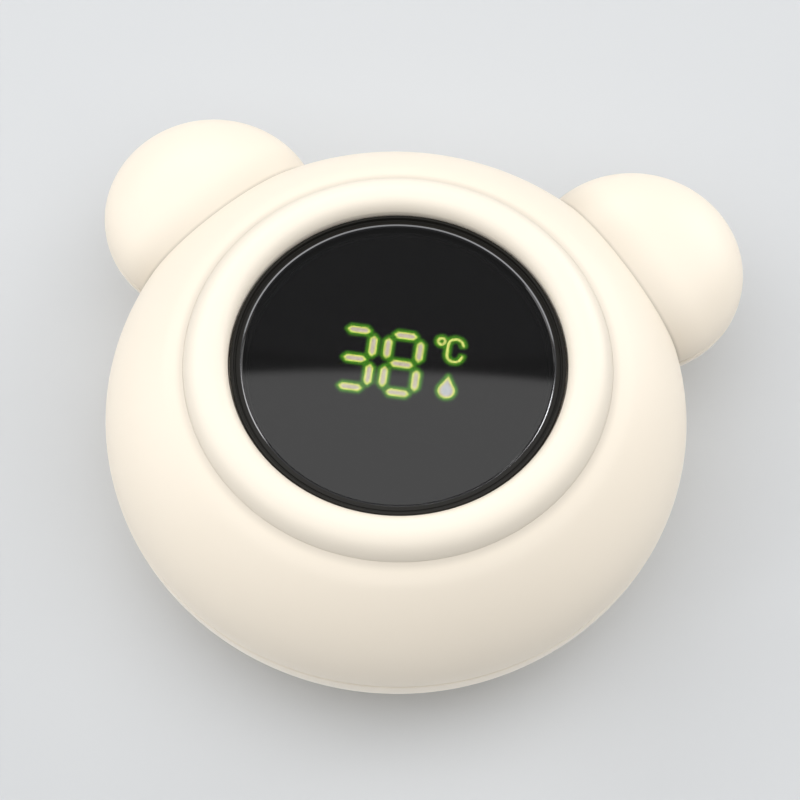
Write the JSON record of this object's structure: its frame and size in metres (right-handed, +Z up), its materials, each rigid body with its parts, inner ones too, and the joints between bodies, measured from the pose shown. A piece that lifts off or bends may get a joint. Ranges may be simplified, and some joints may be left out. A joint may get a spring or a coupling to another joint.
{
  "type": "floating pool thermometer",
  "caption": "Flattened round float with two ear balls, a raised ring round a lit digital display, and a screw-in battery door under a flat base.",
  "frame": {"origin": "centre of the flat base, on the round body's axis", "axes": "+Z up out of the display, +Y towards the ears, +X to the right of the displayed digits"},
  "size_m": [0.0912, 0.0825, 0.0331],
  "materials": {
    "cream_plastic": "soft satin, warm ivory",
    "black_gloss": "glossy black",
    "smoked_lens": "smoked clear plastic, polished",
    "black_foam": "soft black foam",
    "diffuser": "dark translucent film",
    "black_plastic": "matt black",
    "lit_green": "glowing yellow-green resin",
    "unlit_grey": "dark resin",
    "circuit_board": "green solder mask",
    "led_package": "yellow phosphor in a white package",
    "gold_pins": "gold plated",
    "chip_epoxy": "matt black epoxy",
    "small_parts": "tan ceramic",
    "screw_steel": "plain zinc plated",
    "cell_can": "bright nickel plated",
    "contact_spring": "nickel plated spring strip",
    "stainless": "polished stainless steel",
    "silicone_black": "matt black silicone",
    "silicone_cream": "matt cream silicone",
    "silicone_grey": "grey silicone",
    "bead_epoxy": "black epoxy bead",
    "red_wire": "red insulated wire",
    "blue_wire": "blue insulated wire"
  },
  "bodies": {
    "float": {"top_shell": "cream_plastic", "bottom_shell": "cream_plastic", "shell_gasket": "silicone_grey", "face_ring": "cream_plastic", "display_rim": "black_gloss", "display_lens": "smoked_lens", "lens_gasket": "black_foam", "diffuser_film": "diffuser", "digit_housing": "black_plastic", "lit_segments": "lit_green", "unlit_segments": "unlit_grey", "unit_icons": "lit_green", "display_board": "circuit_board", "led_chips": "led_package", "header_body": "black_plastic", "header_pins": "gold_pins", "main_board": "circuit_board", "controller_chip": "chip_epoxy", "board_components": "small_parts", "board_screws": "screw_steel", "coin_cell": "cell_can", "positive_contact": "contact_spring", "negative_contact": "contact_spring", "case_screws": "screw_steel", "screw_plugs": "silicone_cream", "probe_cap": "stainless", "probe_seal": "silicone_black", "thermistor": "bead_epoxy", "probe_leads": "red_wire", "water_contacts": "stainless", "contact_seals": "silicone_black", "contact_leads": "blue_wire"},
    "door_seal": {"door_o_ring": "silicone_black"},
    "door": {"battery_door": "cream_plastic"}
  },
  "joints": [
    {"name": "door_lift", "type": "slide", "parent": "float", "child": "door_seal", "axis": [0, 0, -1], "range_m": [0, 0.0054]},
    {"name": "door_turn", "type": "hinge", "parent": "door_seal", "child": "door", "pos_m": [0, 0, 0], "axis": [0, 0, -1], "range_deg": [0, 120]}
  ],
  "couplings": [
    {"joint": "door_lift", "follows": "door_turn", "m_per_rad": 0.0025783}
  ]
}
